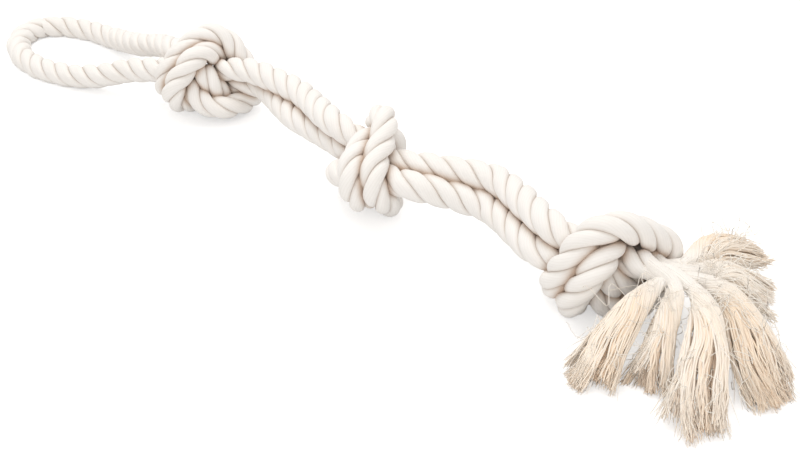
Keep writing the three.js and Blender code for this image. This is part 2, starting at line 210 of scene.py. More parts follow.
def spread(legs, contact):
    """Pushes apart, all at once, the points that are nearer to each other than contact."""
    moves = [np.zeros_like(leg) for leg in legs]
    counts = [np.zeros(len(leg)) for leg in legs]
    for m, n in ((0, 0), (0, 1), (1, 1)):
        ways = legs[n][None] - legs[m][:, None]
        apart = norm(ways)[..., 0]
        near = apart < contact
        if m == n:
            place = np.arange(len(legs[m]))
            near &= np.subtract.outer(place, place) <= -NEAREST_STEPS
        i, j = np.nonzero(near)
        push = ways[i, j] * ((contact - apart[i, j]) / apart[i, j] / 2)[:, None]
        np.add.at(moves[m], i, -push)
        np.add.at(moves[n], j, push)
        np.add.at(counts[m], i, 1)
        np.add.at(counts[n], j, 1)
    for leg, move, count in zip(legs, moves, counts):
        leg += move * (SPREAD_FORCE / (SPREAD_EASE + count))[:, None]


def gather(legs, contact):
    """Draws the two legs together where they have parted."""
    first, second = legs
    moves = np.zeros_like(second)
    for i in range(len(first)):
        facing = int(math.floor(i * (len(second) - 1) / (len(first) - 1) + 0.5))
        start = max(0, facing - LEG_PULL_WINDOW)
        window = second[start:facing + LEG_PULL_WINDOW + 1]
        apart = norm(window - first[i])[:, 0]
        nearest = apart.min()
        if nearest < contact * CONTACT:
            continue
        at = start + int(apart.argmin())
        pull = (second[at] - first[i]) * (LEG_PULL * (nearest - contact) / nearest)
        first[i] += pull
        moves[at] -= pull
    second += moves


def tight_knot():
    """The middle lines of the two legs of a tight overhand knot, in diameters of its rope."""
    legs = loose_knot()
    for turn in range(TIGHT_ROUNDS + EASY_ROUNDS):
        easy = turn >= TIGHT_ROUNDS
        contact = THIN_CONTACT + (CONTACT - THIN_CONTACT) * min(1, turn / GROWTH_ROUNDS)
        share = EASY_DRAW_IN if easy else DRAW_IN
        legs = [draw(evenly(leg, KNOT_STEP), 1, share) for leg in legs]
        if not easy:
            legs = [draw(leg, WIDE_STEP, DRAW_WIDE) for leg in legs]
        for _ in range(2 * SPREAD_TIMES if easy else SPREAD_TIMES):
            spread(legs, contact)
        gather(legs, contact)
        for leg, sign in zip(legs, (1, -1)):
            leg[0] = (-KNOT_END, sign * CONTACT / 2, 0)
            leg[-1] = (KNOT_END, -sign * CONTACT / 2, 0)
    return legs


def placed_knot(tight, knot):
    """A knot's two legs in the toy's frame, from its handle side to its tassel side, pressed
    onto the floor. The leg that leaves higher on the tassel side comes first."""
    turn = Matrix.Rotation(math.radians(knot["yaw"]), 3, "Z")
    turn = turn @ Matrix.Rotation(math.radians(knot["roll"]), 3, "X")
    turn = np.array(turn)
    before, after = knot["ends"]
    legs = []
    for leg in tight:
        line = (leg * (-1, 1 if knot["left_handed"] else -1, 1))[::-1]
        first = np.nonzero(line[:, 0] > -before)[0][0]
        last = np.nonzero(line[:, 0] < after)[0][-1]
        legs.append(line[first:last + 1] @ turn.T * KNOTTED)
    lowest = min(leg[:, 2].min() for leg in legs)
    lift = KNOTTED * (0.5 - FLAT_SHARE) - lowest
    place = np.array([knot["place"][0] * ROPE, knot["place"][1] * ROPE, lift])
    return sorted([leg + place for leg in legs], key=lambda leg: -leg[-1, 2])


def end_ways(line):
    """The directions in which a line starts and ends."""
    start = (line[1] - line[0]) * NEXT_POINT_SHARE - (line[2] - line[0]) * SECOND_POINT_SHARE
    end = (line[-1] - line[-2]) * NEXT_POINT_SHARE - (line[-1] - line[-3]) * SECOND_POINT_SHARE
    return unit(start), unit(end)


def mouth(legs, side):
    """Where full rope meets a knot's thinner legs, a gap apart, on one side of the knot."""
    places = [leg[side] for leg in legs]
    ways = [end_ways(leg)[side] for leg in legs]
    apart = places[0] - places[1]
    apart -= ways[0] * (apart @ ways[0])
    apart *= max(0.0, (ROPE + LEG_GAP) / norm(apart)[0] - 1) / 2
    found = []
    for place, way, sign in zip(places, ways, (1, -1)):
        found.append((place + (apart - way * (apart @ way)) * sign, way))
    return found


def bezier(points, t):
    """Points along a cubic curve that is given by four points."""
    a, b, c, d = points
    t = np.asarray(t)[:, None]
    s = 1 - t
    return a * s ** 3 + b * 3 * s * s * t + c * 3 * s * t * t + d * t ** 3


def span_half(start, start_way, start_share, end, end_way, end_share):
    """A curve between two places, pulled by a share of their distance along each end's way."""
    reach = norm(end - start)[0]
    pulled = start + start_way * reach * start_share
    arriving = end - end_way * reach * end_share
    return bezier((start, pulled, arriving, end), np.linspace(0, 1, SPAN_SAMPLES))


def span_line(start, start_way, end, end_way, span, sign):
    """One leg of a span, from one knot's mouth to the next one's, in two halves."""
    way = heading_way(span["yaw"])
    crossing = (np.array(span["middle"]) + np.array(span["offset"]) * SPAN_CLOSING * sign) * ROPE
    before, after = crossing - way * ROPE / 2, crossing + way * ROPE / 2
    first = span_half(start, start_way, MOUTH_PULL_SHARE, after, way, FLEX_PULL_SHARE)
    second = span_half(before, way, FLEX_PULL_SHARE, end, end_way, MOUTH_PULL_SHARE)
    first = first[(first - crossing) @ way < -CROSSING_GAP]
    second = second[(second - crossing) @ way > CROSSING_GAP]
    return np.concatenate([first, second])


tight = tight_knot()
placed = {name: placed_knot(tight, knot) for name, knot in KNOTS.items()}
LEFT, RIGHT = 0, -1  # a knot's two sides


def fan_middle():
    """The point just past the tassel knot round which the six tails fan out."""
    middle = np.zeros(3)
    middle[0] = KNOTS["tassel_knot"]["place"][0] * ROPE + FAN_SHARE * KNOTTED
    for leg in placed["tassel_knot"]:
        facing = leg[np.nonzero(leg[:, 0] < middle[0])[0][-1]]
        middle[1:] += facing[1:] / 2
    return middle


def whole_part(leg):
    """The part of a leg of the tassel knot up to where its strands part."""
    return leg[:np.nonzero(leg[:, 0] < fan_middle()[0] - UNLAY)[0][-1] + 1]


def chain(first_leg):
    """The rope from one leg of the handle knot to its end in the tassel, in named sections."""
    sections = [(f"handle_knot_leg_{'ab'[first_leg]}", placed["handle_knot"][first_leg])]
    leg = first_leg
    for name, span in SPANS.items():
        start, start_way = mouth(placed[span["from"]], RIGHT)[leg]
        entries = list(enumerate(mouth(placed[span["to"]], LEFT)))
        entries.sort(key=lambda entry: -entry[1][0][2])
        onward, (end, end_way) = entries[leg]
        line = span_line(start, start_way, end, end_way, span, (1, -1)[leg])
        sections.append((f"{name}_leg_{'ab'[leg]}", line))
        leg = onward
        line = placed[span["to"]][leg]
        line = whole_part(line) if span["to"] == "tassel_knot" else line
        sections.append((f"{span['to']}_leg_{'ab'[leg]}", line))
    return sections


def whole_rope():
    """The whole rope from tassel to tassel, as named sections in order."""
    starts = mouth(placed["handle_knot"], LEFT)
    far, near = (0, 1) if starts[0][0][1] > starts[1][0][1] else (1, 0)
    back = [(name, line[::-1]) for name, line in chain(far)[::-1]]
    loop = np.array(LOOP_SHARES) * ROPE
    loop = np.concatenate([[starts[far][0]], loop, [starts[near][0]]])
    return back + [("handle_loop", loop)] + chain(near)


# The line of the rope, with its frame and its twist

STEP = 1.1
LINE_SMOOTHING = 12
MOUTH_SMOOTHING = 60
MOUTH_REACH = 9  # how far round a knot's mouth the line is eased
KNOTTED_SMOOTHING = 144
LAY_SHARE = 2.65
KNOT_LAY_SHARE = 2.7
OPEN_ROPE_SHARE = 1.12  # over its strands' crowns, a rope is thicker than its measured size
KNOT_ROPE_SHARE = 1.26
END_TAPER = 9  # the length over which the rope narrows at its ends
END_TAPER_SHARE = 0.25


def soften(values, rounds):
    """Smooths values along a line, keeping its ends."""
    values = values.copy()
    for _ in range(rounds):
        values[1:-1] = (values[:-2] + 2 * values[1:-1] + values[2:]) / 4
    return values


def cross_ways(line):
    """Two directions square to a line at each of its points, that don't twist about it."""
    ways = unit(np.gradient(line, axis=0))
    sides = np.zeros_like(line)
    side = UP
    for i, way in enumerate(ways):
        side = side - way * (side @ way)
        side = side / np.linalg.norm(side)
        sides[i] = side
    return sides, np.cross(ways, sides)


class Rope:
    """The whole rope, ring by ring: its middle line, sections, thickness and twist."""

    def __init__(self, sections):
        """Makes the rope from its named sections, which follow each other."""
        line = np.concatenate([points for _, points in sections])
        self.line = soften(evenly(line, STEP), LINE_SMOOTHING)
        places = self.section_places(line, [len(points) for _, points in sections])
        names = [name for name, _ in sections]
        self.sections = dict(zip(names, zip(places[:-1], places[1:])))
        self.ease_mouths(places[1:-1])
        self.line += SHIFT
        self.sides, self.ups = cross_ways(self.line)
        self.measure()

    def section_places(self, line, counts):
        """The rings at which the sections start and end."""
        along = lengths_along(line)
        marks = np.cumsum(counts)[:-1]
        ends = [0.0] + [(along[mark - 1] + along[mark]) / 2 for mark in marks] + [along[-1]]
        last = len(self.line) - 1
        return [int(round(end / along[-1] * last)) for end in ends]

    def ease_mouths(self, places):
        """Eases the line where one section meets the next, at a knot's mouth."""
        rings = np.arange(len(self.line))
        nearest = np.min([((rings - place) * STEP / MOUTH_REACH) ** 2 for place in places], axis=0)
        eased = soften(self.line, MOUTH_SMOOTHING)
        self.line += (eased - self.line) * np.exp(-nearest)[:, None]

    def measure(self):
        """Finds how knotted, how far along, how thick and how twisted each ring is."""
        knotted = np.zeros(len(self.line))
        for name, (start, end) in self.sections.items():
            if "knot" in name:
                knotted[start:end] = 1
        self.knotted = soften(knotted, KNOTTED_SMOOTHING)
        free = ROPE * OPEN_ROPE_SHARE
        thick = free + (KNOTTED * KNOT_ROPE_SHARE - free) * self.knotted
        lay = ROPE * (LAY_SHARE + (KNOT_LAY_SHARE - LAY_SHARE) * self.knotted)
        steps = np.concatenate([[0.0], norm(np.diff(self.line, axis=0))[:, 0]])
        self.along = np.cumsum(steps)
        self.phase = np.cumsum(steps * 2 * np.pi / lay)
        to_end = np.minimum(self.along, self.along[-1] - self.along) / END_TAPER
        self.thick = thick * (1 - END_TAPER_SHARE * (1 - np.clip(to_end, 0, 1)) ** 2)


# The rope's surface: three strands pressed together, each with its yarns

STRANDS = 3
THIRD = 2 * math.pi / STRANDS
STRAND_COLUMNS = 24
STRAND_REACH = 66  # degrees to each side, so that neighbours run into each other
STRAND_OUT_SHARE = 0.225  # from the rope's middle to a strand's
GROOVE_SHARE = 0.27
KNOT_GROOVE_SHARE = 0.36
GROOVE_SHARPNESS = 3.4
KNOT_GROOVE_SHARPNESS = 2.7
YARNS_PER_STRAND = 9
YARN_DEPTH = 0.12
YARN_WANDER = 0.3
YARN_TURN_SHARE = 3.2
THICKNESS_CHANGE = 0.02
FLOOR_CLEARANCE = 0.25
MAP_MARGIN = 0.02
PATH_STEP = 4  # rings between the points of a rope's path

# Slow changes along a strand: the number of waves, the longest of them and a first seed
THICKNESS_WAVES = ((5, 60, 0), (6, 45, 10))
WANDER_WAVES = (6, 50, 20)
SHORTEST_WAVE_SHARE = 0.25

# How the turns of rope near a ring are looked for, so that painted shade darkens the cotton between
# them
NEAR_STEP = 4
NEAR_APART = 1.6
NEAR_REACH = 6.5


def waves(along, count, longest, seed):
    """A smooth random line between about -1 and 1."""
    source = np.random.default_rng(seed)
    total = np.zeros_like(along)
    for _ in range(count):
        length = longest * source.uniform(SHORTEST_WAVE_SHARE, 1)
        total += np.sin(2 * np.pi * along / length + source.uniform(0, 2 * np.pi))
    return total / math.sqrt(count / 2) / 2


def strand_yarns(rope, rings, strand, across):
    """Which yarn lies at each point of a strand: they wind round it and wander a little."""
    along = rope.along[rings]
    count, longest, seed = WANDER_WAVES
    wander = waves(along, count, longest, seed + strand)[:, None]
    yarn = across * YARNS_PER_STRAND / 2 + along[:, None] / (ROPE * YARN_TURN_SHARE)
    return yarn + YARN_WANDER * wander * (1 - across ** 2)


def strand_reach(rope, rings, strand, angle, yarn):
    """How far each point of a strand's surface lies from the rope's middle line."""
    along = rope.along[rings]
    knotted = rope.knotted[rings][:, None]
    thick = rope.thick[rings][:, None]
    for count, longest, seed in THICKNESS_WAVES:
        change = waves(along, count, longest, seed + strand)[:, None]
        thick = thick * (1 + THICKNESS_CHANGE * change)
    groove = GROOVE_SHARE + (KNOT_GROOVE_SHARE - GROOVE_SHARE) * knotted
    sharpness = GROOVE_SHARPNESS + (KNOT_GROOVE_SHARPNESS - GROOVE_SHARPNESS) * knotted
    reach = thick / 2 * (1 - groove * np.abs(angle / (THIRD / 2)) ** sharpness)
    return reach - YARN_DEPTH * (1 - np.abs(np.sin(np.pi * yarn))) ** 2


def strand_shape(rope, rings, strand):
    """The places of one strand's surface on some rings, and what its material reads there: the
    way across the strand from -1 to 1, the yarn and the way along the rope."""
    across = np.linspace(-1, 1, STRAND_COLUMNS + 1)[None]
    angle = np.radians(STRAND_REACH) * across
    yarn = strand_yarns(rope, rings, strand, across)
    reach = strand_reach(rope, rings, strand, angle, yarn)
    turn = angle + rope.phase[rings][:, None] + strand * THIRD
    places = rope.line[rings][:, None]
    places = places + rope.sides[rings][:, None] * (reach * np.cos(turn))[..., None]
    places = places + rope.ups[rings][:, None] * (reach * np.sin(turn))[..., None]
    places[..., 2] = np.maximum(places[..., 2], FLOOR_CLEARANCE)
    along = rope.along[rings][:, None]
    shape = np.stack(np.broadcast_arrays(across, yarn, along), -1)
    return places, shape


def nearness(rope, rings, places):
    """How close other turns of the rope lie to its surface: 0 for none near, 1 for touching."""
    others = rope.line[::NEAR_STEP]
    radii = rope.thick[::NEAR_STEP] / 2
    along = rope.along[::NEAR_STEP]
    near = []
    for ring, row in zip(rings, places):
        apart = np.abs(along - rope.along[ring]) > NEAR_APART * ROPE
        away = row[:, None] - others[apart][None]
        reach = np.sqrt(np.einsum("ijk,ijk->ij", away, away)) - radii[apart]
        near.append(np.clip(1 - reach.min(axis=1) / NEAR_REACH, 0, 1))
    return np.array(near)


def grid_faces(rows, columns, first):
    """The corners of a grid's faces, row by row."""
    corner = first + np.arange(rows - 1)[:, None] * columns + np.arange(columns - 1)[None]
    faces = np.stack([corner, corner + 1, corner + columns + 1, corner + columns], -1)
    return faces.reshape(-1, 4)


def strand_spots(strand, across):
    """Where one strand's points lie on the rope's map: each strand in a band of its own."""
    along = np.linspace(0, 1, len(across))[:, None]
    side = (strand + 0.5 + across * (0.5 - MAP_MARGIN)) / STRANDS
    return np.stack([along + 0 * side, side], -1)


def mesh_piece(name, places, faces, attributes, material, smooth=True, spots=None):
    """A mesh object from arrays, in metres, with its named attributes and, for the bake, its map."""
    mesh = bpy.data.meshes.new(name)
    mesh.from_pydata((places * MM).tolist(), [], faces.tolist())
    for key, values in attributes.items():
        layer = mesh.attributes.new(key, "FLOAT_VECTOR", "POINT")
        layer.data.foreach_set("vector", np.ascontiguousarray(values, dtype=np.float32).ravel())
    if spots is not None:
        mesh.uv_layers.new(name="OFBake").uv.foreach_set("vector", spots.astype(np.float32).ravel())
    mesh.materials.append(material)
    mesh.polygons.foreach_set("use_smooth", [smooth] * len(mesh.polygons))
    piece = bpy.data.objects.new(name, mesh)
    bpy.context.collection.objects.link(piece)
    return piece


def rope_piece(rope, section, name, material):
    """One section of the rope as a piece, and the middle line that it follows."""
    start, end = rope.sections[section]
    rings = np.arange(start, end + 1)
    columns = STRAND_COLUMNS + 1
    places, faces, shapes, near, spots = [], [], [], [], []
    for strand in range(STRANDS):
        grid, shape = strand_shape(rope, rings, strand)
        places.append(grid.reshape(-1, 3))
        faces.append(grid_faces(len(rings), columns, strand * len(rings) * columns))
        shapes.append(shape.reshape(-1, 3))
        near.append(np.repeat(nearness(rope, rings, grid).reshape(-1, 1), 3, axis=1))
        spots.append(strand_spots(strand, shape[..., 0]).reshape(-1, 2))
    faces = np.concatenate(faces)
    attributes = {"lay": np.concatenate(shapes), "near": np.concatenate(near)}
    piece = mesh_piece(
        name, np.concatenate(places), faces, attributes, material,
        spots=np.concatenate(spots)[faces],
    )
    return piece, rope.line[rings]


def declare_rope(piece, line):
    """Works out, in metres, a path through every few rings of a middle line and its length, and does
    nothing more with them.
    """
    path = [tuple(point) for point in line[::PATH_STEP] * MM] + [tuple(line[-1] * MM)]
    length = float(lengths_along(line)[-1] * MM)
    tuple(path[0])


# The tassel: each of the six strands leaves the rope's end and frays out into its yarns

HIDDEN_START = 10  # how far inside the rope a strand's yarns begin
WAY_STEPS = 3  # rings that show a strand's way out of the rope
TURN_PULL_SHARE = 0.4
TURN_SAMPLES = 12
TAIL_SAMPLES = 60
TAIL_OVERHANG = 8  # how far yarns may pass the solid's tip
MATCH_SHARE = 2.0  # how far out strands are matched with the tails
BUNDLE_RADIUS = 3.9
TAIL_SPREAD = 1.12
TAIL_THICKNESS = 16
TAIL_TIP_THICKNESS = 11

# Its yarns: how many, how thick, and how they untwist on the way out
YARN_COUNT = 250
YARN_RINGS = 32
YARN_SIDES = 5
YARN_ROOT_RADIUS = 0.42
YARN_RADIUS = 0.62
YARN_TIP_RADIUS = 0.3
YARN_TIP_SHARE = 0.2
GOLDEN_SHARE = 3 - math.sqrt(5)
YARN_TWIST = 2.6
UNTWISTING = 2.2

# Their clumps: places and pulls are shares of the tail's half width, shortening of its length
CLUMPS = 6
CLUMP_ACROSS = 0.85
CLUMP_UP = 0.4
CLUMP_MIXING = 0.12
CLUMP_PULL = 0.55
CLUMP_PULL_UP = 0.5
CLUMP_TONE = 0.6
CLUMP_SHORTENING = 0.12
YARN_SHORTENING = 0.035

# Their waves: the lengths and sizes that each yarn draws from, and each clump's own sway
YARN_WAVES = (16, 30)
YARN_WAVE_SIZES = (0.3, 1.1)
YARN_RISE_SHARE = 0.8
CLUMP_SHIFT_WAVE, CLUMP_SHIFT = 70, 2.2
CLUMP_RISE_WAVE, CLUMP_RISE = 80, 1.4

# The fibres in which the yarns end
FIBRE_SIDES = 3
FIBRES_PER_YARN = 2
FIBRE_START_SHARE = 0.72
FIBRE_STEPS = 9
FIBRE_SPLAY = 0.1
FIBRE_LENGTHENING = 0.08
FIBRE_RADIUS, FIBRE_TIP_RADIUS = 0.3, 0.14
# How far the painted shade deep in the bundle fades towards the tips
TIP_SHADE_FADING = 0.5

# The wisps: single fibres that stand off the yarns
WISP_COUNT = 45
WISP_RADIUS = 0.24
WISP_RINGS = 8
WISP_STEPS = 12
WISP_START_SHARE = 0.3
WISP_LIFT = 1.6
WISP_STANDING = (0.2, 0.8)
WISP_CURL = 0.1
WISP_TURNS = (0.7, 1.8)
# A wisp's tone, its depth in the bundle for the painted shade, and how free it is
WISP_LOOK = (0.2, 0.0, 1.0)

MAP_COLUMNS = 6
MAP_INSET = 0.06
SETTLING = 0.02  # keeps the yarns on the floor from lying in one plane


def tail_line(tail, middle):
    """The four points of the curve along which a tail falls from its root to the floor."""
    leaving = heading_way(tail["round"])
    root = middle + leaving * ROOT_REACH
    tip = np.array(tail["tip"]) * ROPE + SHIFT
    reach = norm(tip - root)[0]
    falling = tip - heading_way(tail["heading"]) * reach * TAIL_FALLING_SHARE
    falling[2] = tip[2] + (root[2] - tip[2]) * TAIL_HANG_SHARE
    return np.stack([root, root + leaving * tail["leaving"] * ROPE, falling, tip])


def leg_rings(rope, section):
    """The rope's rings of one leg of the tassel knot, up to its end."""
    start, end = rope.sections[section]
    rings = np.arange(start, end + 1)
    return rings[::-1] if start == 0 else rings


def strand_place(rope, ring, strand, share=1.0):
    """The middle of one strand on one ring of the rope."""
    turn = rope.phase[ring] + strand * THIRD
    out = rope.thick[ring] * STRAND_OUT_SHARE * share
    way = rope.sides[ring] * math.cos(turn) + rope.ups[ring] * math.sin(turn)
    return rope.line[ring] + way * out


def strand_route(rope, rings, strand, curve):
    """A strand's middle line from inside the rope, out of its end and along its tail, and how
    far along it the tail's root is."""
    inside = int(HIDDEN_START / STEP)
    start = np.array([strand_place(rope, ring, strand) for ring in rings[-inside:]])
    end = start[-1]
    way = unit(end - start[-1 - WAY_STEPS])
    leave, falling = curve[0], unit(curve[1] - curve[0])
    reach = norm(leave - end)[0]
    pulled = end + way * reach * TURN_PULL_SHARE
    arriving = leave - falling * reach * TURN_PULL_SHARE
    turn = bezier((end, pulled, arriving, leave), np.linspace(0, 1, TURN_SAMPLES))
    along = bezier(curve, np.linspace(0, 1, TAIL_SAMPLES))
    beyond = along[-1] + unit(along[-1] - along[-3]) * TAIL_OVERHANG
    line = np.concatenate([start, turn[1:], along[1:], [beyond]])
    rooted = lengths_along(np.concatenate([start, turn[1:]]))[-1]
    return evenly(line, STEP), rooted


def matched(rope, rings, curves):
    """Which strand of a rope's end feeds each tail: the pairing with the shortest ways."""
    places = [strand_place(rope, rings[-1], strand, MATCH_SHARE) for strand in range(STRANDS)]
    return min(permutations(range(STRANDS)), key=lambda order: sum(
        norm(places[strand] - curve[0])[0] for strand, curve in zip(order, curves)))


class Yarns:
    """The yarns of one tail, ring by ring: their middle lines, how free they are, their tones."""

    def __init__(self, route, rooted, tail, seed):
        """Lays the yarns along the route of their strand, which leaves the rope at rooted."""
        self.source = np.random.default_rng(seed)
        out = np.sqrt((np.arange(YARN_COUNT) + 0.5) / YARN_COUNT)
        turn = np.arange(YARN_COUNT) * math.pi * GOLDEN_SHARE
        place = np.stack([out * np.cos(turn), out * np.sin(turn)], -1)
        ends = self.clump_together(place)
        self.follow(route, rooted, ends)
        self.lay_out(place, tail["width"] * ROPE / 2 * TAIL_SPREAD)
        shared = self.source.uniform(0, 1, CLUMPS)[self.own] * CLUMP_TONE
        tone = shared + self.source.uniform(0, 1 - CLUMP_TONE, YARN_COUNT)
        # Each yarn's tone, and how deep inside the bundle it lies, which sets its painted shade
        self.tones = np.stack([tone, 1 - out], -1)

    def clump_together(self, place):
        """Gives each yarn a clump near its place, and finds the share of the way it reaches."""
        uniform = self.source.uniform
        up = uniform(-CLUMP_UP, CLUMP_UP, CLUMPS)
        self.clump = np.stack([np.linspace(-CLUMP_ACROSS, CLUMP_ACROSS, CLUMPS), up], -1)
        away = norm(place[:, None] - self.clump[None])[..., 0]
        away = away + uniform(0, CLUMP_MIXING, (YARN_COUNT, CLUMPS))
        self.own = np.argmin(away, axis=1)
        ragged = np.abs(self.source.normal(0, YARN_SHORTENING, YARN_COUNT))
        return 1 - ragged - uniform(0, CLUMP_SHORTENING, CLUMPS)[self.own]

    def follow(self, route, rooted, ends):
        """Finds each ring's place on the route, the directions across it and how free it is."""
        along = lengths_along(route)
        total = along[-1]
        self.wanted = np.linspace(0, 1, YARN_RINGS)[None] * ends[:, None] * total
        self.centre = along_line(self.wanted, along, route)
        ways = unit(along_line(self.wanted, along, unit(np.gradient(route, axis=0))))
        self.sides = unit(np.cross(UP, ways))
        self.ups = np.cross(ways, self.sides)
        self.free = np.clip((self.wanted - rooted) / (total - rooted), 0, 1)

    def lay_out(self, place, width):
        """Finds the middle lines: untwisting, widening, clumping and waving as they get free."""
        free = self.free
        wide = BUNDLE_RADIUS + (width - BUNDLE_RADIUS) * free ** TAIL_OPENING
        full = (4 * free * (1 - free)) ** 2
        high = BUNDLE_RADIUS + (TAIL_THICKNESS / 2 - BUNDLE_RADIUS) * full
        high = high + (TAIL_TIP_THICKNESS / 2 - BUNDLE_RADIUS) * free ** 2
        twist = YARN_TWIST * (1 - np.minimum(free * UNTWISTING, 1)) ** 2
        u = place[:, None, 0] * np.cos(twist) - place[:, None, 1] * np.sin(twist)
        v = place[:, None, 0] * np.sin(twist) + place[:, None, 1] * np.cos(twist)
        pull = CLUMP_PULL * free ** 1.5
        clump = self.clump[self.own]
        u = u + (clump[:, None, 0] - u) * pull
        v = v + (clump[:, None, 1] - v) * pull * CLUMP_PULL_UP
        shift, rise = self.sway()
        across = self.sides * (u * wide + shift)[..., None]
        self.lines = self.centre + across + self.ups * (v * high + rise)[..., None]

    def sway(self):
        """How far waves shift each ring to the side and up: the yarn's own and its clump's."""
        uniform = self.source.uniform
        wave = uniform(0, 2 * np.pi, (2, YARN_COUNT, 1))
        long = uniform(*YARN_WAVES, (2, YARN_COUNT, 1))
        size = self.free * uniform(*YARN_WAVE_SIZES, (2, YARN_COUNT, 1))
        sway = uniform(0, 2 * np.pi, (2, CLUMPS))[:, self.own][..., None]
        turn = 2 * np.pi * self.wanted
        shift = np.sin(turn / long[0] + wave[0]) * size[0]
        shift = shift + np.sin(turn / CLUMP_SHIFT_WAVE + sway[0]) * self.free * CLUMP_SHIFT
        rise = np.sin(turn / long[1] + wave[1]) * size[1] * YARN_RISE_SHARE
        rise = rise + np.sin(turn / CLUMP_RISE_WAVE + sway[1]) * self.free * CLUMP_RISE
        return shift, rise


def tubes(lines, radii, ups, sides):
    """Thin tubes along many lines at once: their corners and faces."""
    ways = unit(np.gradient(lines, axis=1))
    across = unit(np.cross(ways, ups))
    up = np.cross(across, ways)
    angle = 2 * np.pi * np.arange(sides) / sides
    ring = across[:, :, None] * np.cos(angle)[:, None] + up[:, :, None] * np.sin(angle)[:, None]
    places = lines[:, :, None] + ring * radii[:, :, None, None]
    count, steps = lines.shape[:2]
    column = np.arange(sides)
    corner = (np.arange(count)[:, None, None] * steps + np.arange(steps - 1)[None, :, None]) * sides
    a = corner + column
    b = corner + (column + 1) % sides
    faces = np.stack([a, a + sides, b + sides, b], -1).reshape(-1, 4)
    return places.reshape(-1, 3), faces


def tube_spots(sizes):
    """Where the faces of groups of tubes lie on their map: each tube in a cell of its own."""
    rows = math.ceil(sum(count for count, _, _ in sizes) / MAP_COLUMNS)
    inner = 1 - 2 * MAP_INSET
    first = 0
    found = []
    for count, steps, around in sizes:
        column, row = np.divmod(first + np.arange(count), rows)
        ring = np.arange(steps - 1)[:, None, None] + np.array([0, 1, 1, 0])
        side = np.arange(around)[None, :, None] + np.array([0, 0, 1, 1])
        along = (MAP_INSET + inner * ring / (steps - 1)) + 0 * side
        across = (MAP_INSET + inner * side / around) + 0 * ring
        u = (column[:, None, None, None] + along) / MAP_COLUMNS
        v = (row[:, None, None, None] + across) / rows
        found.append(np.stack([u, v], -1).reshape(-1, 2))
        first += count
    return np.concatenate(found)


def tube_group(lines, radii, ups, sides, looks):
    """A group of tubes as a dictionary. The looks are what the material reads on each corner:
    the tone, how deep inside the bundle it is, which sets its painted shade, and how free."""
    places, faces = tubes(lines, radii, ups, sides)
    return {"places": places, "faces": faces, "looks": looks, "size": (*lines.shape[:2], sides)}


def yarn_tubes(yarns):
    """The yarns, thickest half way, each in its own tone, their painted shade fading to the tip."""
    free = yarns.free
    swell = np.sin(np.pi * free ** 0.8) ** 0.6
    radii = YARN_ROOT_RADIUS + (YARN_RADIUS - YARN_ROOT_RADIUS) * swell
    reached = np.linspace(0, 1, YARN_RINGS)[None]
    last = np.clip((reached - (1 - YARN_TIP_SHARE)) / YARN_TIP_SHARE, 0, 1)
    radii = radii + (YARN_TIP_RADIUS - radii) * last ** 1.5
    tone = np.repeat(yarns.tones, YARN_RINGS * YARN_SIDES, axis=0)
    free = np.repeat(free.reshape(-1), YARN_SIDES)
    tone[:, 1] *= 1 - TIP_SHADE_FADING * free ** 3
    looks = np.concatenate([tone, free[:, None]], axis=1)
    return tube_group(yarns.lines, radii, yarns.ups, YARN_SIDES, looks)


def fibre_tubes(yarns):
    """The loose fibres in which the yarns end, splayed out from their last part."""
    picked = np.repeat(np.arange(YARN_COUNT), FIBRES_PER_YARN)
    t = np.linspace(0, 1, FIBRE_STEPS)
    base = yarns.lines[picked][:, int(YARN_RINGS * FIBRE_START_SHARE):]
    own = np.linspace(0, 1, base.shape[1])
    grown = np.stack([along_line(t, own, row) for row in base])
    root = base[:, 0][:, None]
    reach = norm(base[:, -1] - base[:, 0])[:, None]
    splay = yarns.source.normal(0, FIBRE_SPLAY, (len(picked), 2))
    longer = 1 + yarns.source.uniform(0.0, FIBRE_LENGTHENING, (len(picked), 1))
    bend = (t ** 1.6)[None, :, None] * reach
    lines = root + (grown - root) * longer[:, None]
    lines = lines + yarns.sides[picked][:, -1][:, None] * bend * splay[:, None, :1]
    lines = lines + UP * bend * splay[:, None, 1:]
    radii = np.linspace(FIBRE_RADIUS, FIBRE_TIP_RADIUS, FIBRE_STEPS)
    radii = radii[None].repeat(len(lines), axis=0)
    tone = np.repeat(yarns.tones[picked], FIBRE_STEPS * FIBRE_SIDES, axis=0) * [1, 1 - TIP_SHADE_FADING]
    looks = np.concatenate([tone, np.ones((len(tone), 1))], axis=1)
    return tube_group(lines, radii, UP, FIBRE_SIDES, looks)


def wisp_line(lines, source):
    """A wavy curl that leaves one of the yarns somewhere along it."""
    t = np.linspace(0, 1, WISP_STEPS)
    yarn = lines[source.integers(YARN_COUNT)]
    start = source.integers(int(YARN_RINGS * WISP_START_SHARE), YARN_RINGS - WISP_RINGS)
    line = along_line(t, np.linspace(0, 1, WISP_RINGS), yarn[start:start + WISP_RINGS])
    reach = norm(line[-1] - line[0])[0]
    away = unit(source.normal(0, 1, 3) + [0, 0, WISP_LIFT])
    line = line + away * (reach * source.uniform(*WISP_STANDING) * t ** 1.5)[:, None]
    curl = source.normal(0, 1, (2, 3)) * reach * WISP_CURL
    turn = 2 * np.pi * source.uniform(*WISP_TURNS) * t
    return line + curl[0] * np.sin(turn)[:, None] + curl[1] * (1 - np.cos(turn))[:, None]


def wisp_tubes(yarns):
    """Fine fibres worked loose all along a tail."""
    lines = np.array([wisp_line(yarns.lines, yarns.source) for _ in range(WISP_COUNT)])
    radii = np.full(lines.shape[:2], WISP_RADIUS)
    looks = np.tile(WISP_LOOK, (WISP_COUNT * WISP_STEPS * FIBRE_SIDES, 1))
    return tube_group(lines, radii, UP, FIBRE_SIDES, looks)


